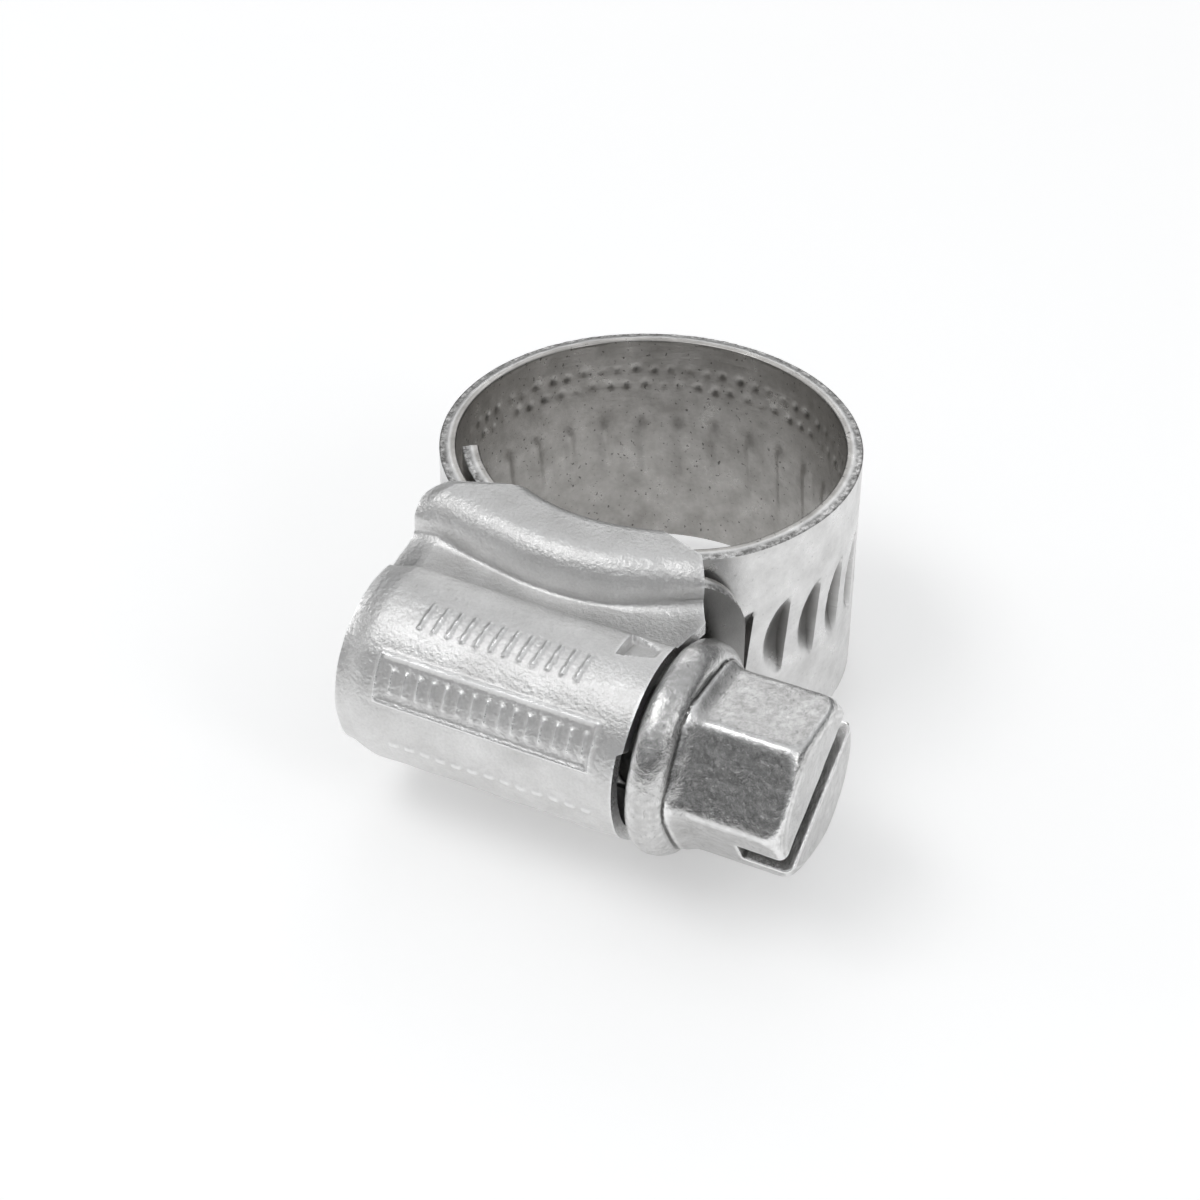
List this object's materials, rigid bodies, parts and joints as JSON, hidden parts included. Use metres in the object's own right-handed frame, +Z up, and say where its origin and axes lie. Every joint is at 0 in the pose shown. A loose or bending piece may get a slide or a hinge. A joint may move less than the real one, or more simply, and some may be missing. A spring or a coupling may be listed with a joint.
{
  "type": "worm-drive hose clamp",
  "caption": "Small steel worm-drive hose clamp: a slotted band closed into a loop, a folded sheet housing and a slotted hex-head worm screw that draws the band tight.",
  "frame": {"origin": "middle of the base of the bounding box; z = 0 is the underside of the housing's lower roll", "axes": "+Z up, along the loop's own axis; +X along the worm screw towards its hex head; the housing is on the -Y side of the loop"},
  "size_m": [0.0204, 0.0232, 0.0111],
  "materials": {
    "housing_steel": "satin rolled sheet with a fine grain",
    "band_steel": "bright sheared edges, mottled grey faces",
    "screw_steel": "burnished and scratched, darker in its corners"
  },
  "bodies": {
    "housing": {"housing": "housing_steel", "band_base": "band_steel"},
    "screw": {"worm_screw": "screw_steel"},
    "tail": {"band_tail": "band_steel"},
    "tongue": {"band_tongue": "band_steel"},
    "right_1": {"band_right_1": "band_steel"},
    "right_2": {"band_right_2": "band_steel"},
    "right_3": {"band_right_3": "band_steel"},
    "right_4": {"band_right_4": "band_steel"},
    "right_5": {"band_right_5": "band_steel"},
    "left_1": {"band_left_1": "band_steel"},
    "left_2": {"band_left_2": "band_steel"},
    "left_3": {"band_left_3": "band_steel"},
    "left_4": {"band_left_4": "band_steel"},
    "left_5": {"band_left_5": "band_steel"},
    "left_6": {"band_left_6": "band_steel"}
  },
  "joints": [
    {"name": "screw_turn", "type": "hinge", "parent": "housing", "child": "screw", "pos_m": [-0.00197, -0.00751, 0.00555], "axis": [-1, 0, 0], "range_deg": [-360, 1440]},
    {"name": "tail_feed", "type": "hinge", "parent": "housing", "child": "tail", "pos_m": [-0.00132, 0.00415, 0.00555], "axis": [0, 0, 1], "range_deg": [-10.7, 42.6]},
    {"name": "tongue_flex", "type": "hinge", "parent": "housing", "child": "tongue", "pos_m": [-0.00686, -0.00157, 0.00555], "axis": [0, 0, 1], "range_deg": [-14.1, 3.6]},
    {"name": "right_flex_1", "type": "hinge", "parent": "housing", "child": "right_1", "pos_m": [0.00459, -0.001, 0.00555], "axis": [0, 0, 1], "range_deg": [-1, 0.3]},
    {"name": "right_flex_2", "type": "hinge", "parent": "right_1", "child": "right_2", "pos_m": [0.0058, 0.00205, 0.00555], "axis": [0, 0, 1], "range_deg": [-3.7, 14.3]},
    {"name": "right_flex_3", "type": "hinge", "parent": "right_2", "child": "right_3", "pos_m": [0.00566, 0.00532, 0.00555], "axis": [0, 0, 1], "range_deg": [-3.7, 14.2]},
    {"name": "right_flex_4", "type": "hinge", "parent": "right_3", "child": "right_4", "pos_m": [0.00421, 0.00826, 0.00555], "axis": [0, 0, 1], "range_deg": [-3.1, 0.9]},
    {"name": "right_flex_5", "type": "hinge", "parent": "right_4", "child": "right_5", "pos_m": [0.00168, 0.01034, 0.00555], "axis": [0, 0, 1], "range_deg": [-5.3, 1.4]},
    {"name": "left_flex_1", "type": "hinge", "parent": "tail", "child": "left_1", "pos_m": [-0.00699, -0.00271, 0.00555], "axis": [0, 0, 1], "range_deg": [-0.6, 1.9]},
    {"name": "left_flex_2", "type": "hinge", "parent": "left_1", "child": "left_2", "pos_m": [-0.00903, -0.00014, 0.00555], "axis": [0, 0, 1], "range_deg": [-0.6, 2.2]},
    {"name": "left_flex_3", "type": "hinge", "parent": "left_2", "child": "left_3", "pos_m": [-0.00984, 0.00303, 0.00555], "axis": [0, 0, 1], "range_deg": [-10, 2.6]},
    {"name": "left_flex_4", "type": "hinge", "parent": "left_3", "child": "left_4", "pos_m": [-0.0093, 0.00626, 0.00555], "axis": [0, 0, 1], "range_deg": [-5, 1.3]},
    {"name": "left_flex_5", "type": "hinge", "parent": "left_4", "child": "left_5", "pos_m": [-0.00748, 0.00899, 0.00555], "axis": [0, 0, 1], "range_deg": [-4.9, 1.3]},
    {"name": "left_flex_6", "type": "hinge", "parent": "left_5", "child": "left_6", "pos_m": [-0.00472, 0.01075, 0.00555], "axis": [0, 0, 1], "range_deg": [-7.7, 2]}
  ],
  "couplings": [
    {"joint": "tail_feed", "follows": "screw_turn", "ratio": 0.029513},
    {"joint": "tongue_flex", "follows": "screw_turn", "ratio": -0.009722},
    {"joint": "right_flex_1", "follows": "screw_turn", "ratio": -0.00063},
    {"joint": "right_flex_2", "follows": "screw_turn", "ratio": 0.00989},
    {"joint": "right_flex_3", "follows": "screw_turn", "ratio": 0.00982},
    {"joint": "right_flex_4", "follows": "screw_turn", "ratio": -0.0021},
    {"joint": "right_flex_5", "follows": "screw_turn", "ratio": -0.00359},
    {"joint": "left_flex_1", "follows": "screw_turn", "ratio": 0.00128},
    {"joint": "left_flex_2", "follows": "screw_turn", "ratio": 0.00148},
    {"joint": "left_flex_3", "follows": "screw_turn", "ratio": -0.00686},
    {"joint": "left_flex_4", "follows": "screw_turn", "ratio": -0.00338},
    {"joint": "left_flex_5", "follows": "screw_turn", "ratio": -0.0033},
    {"joint": "left_flex_6", "follows": "screw_turn", "ratio": -0.00522}
  ]
}
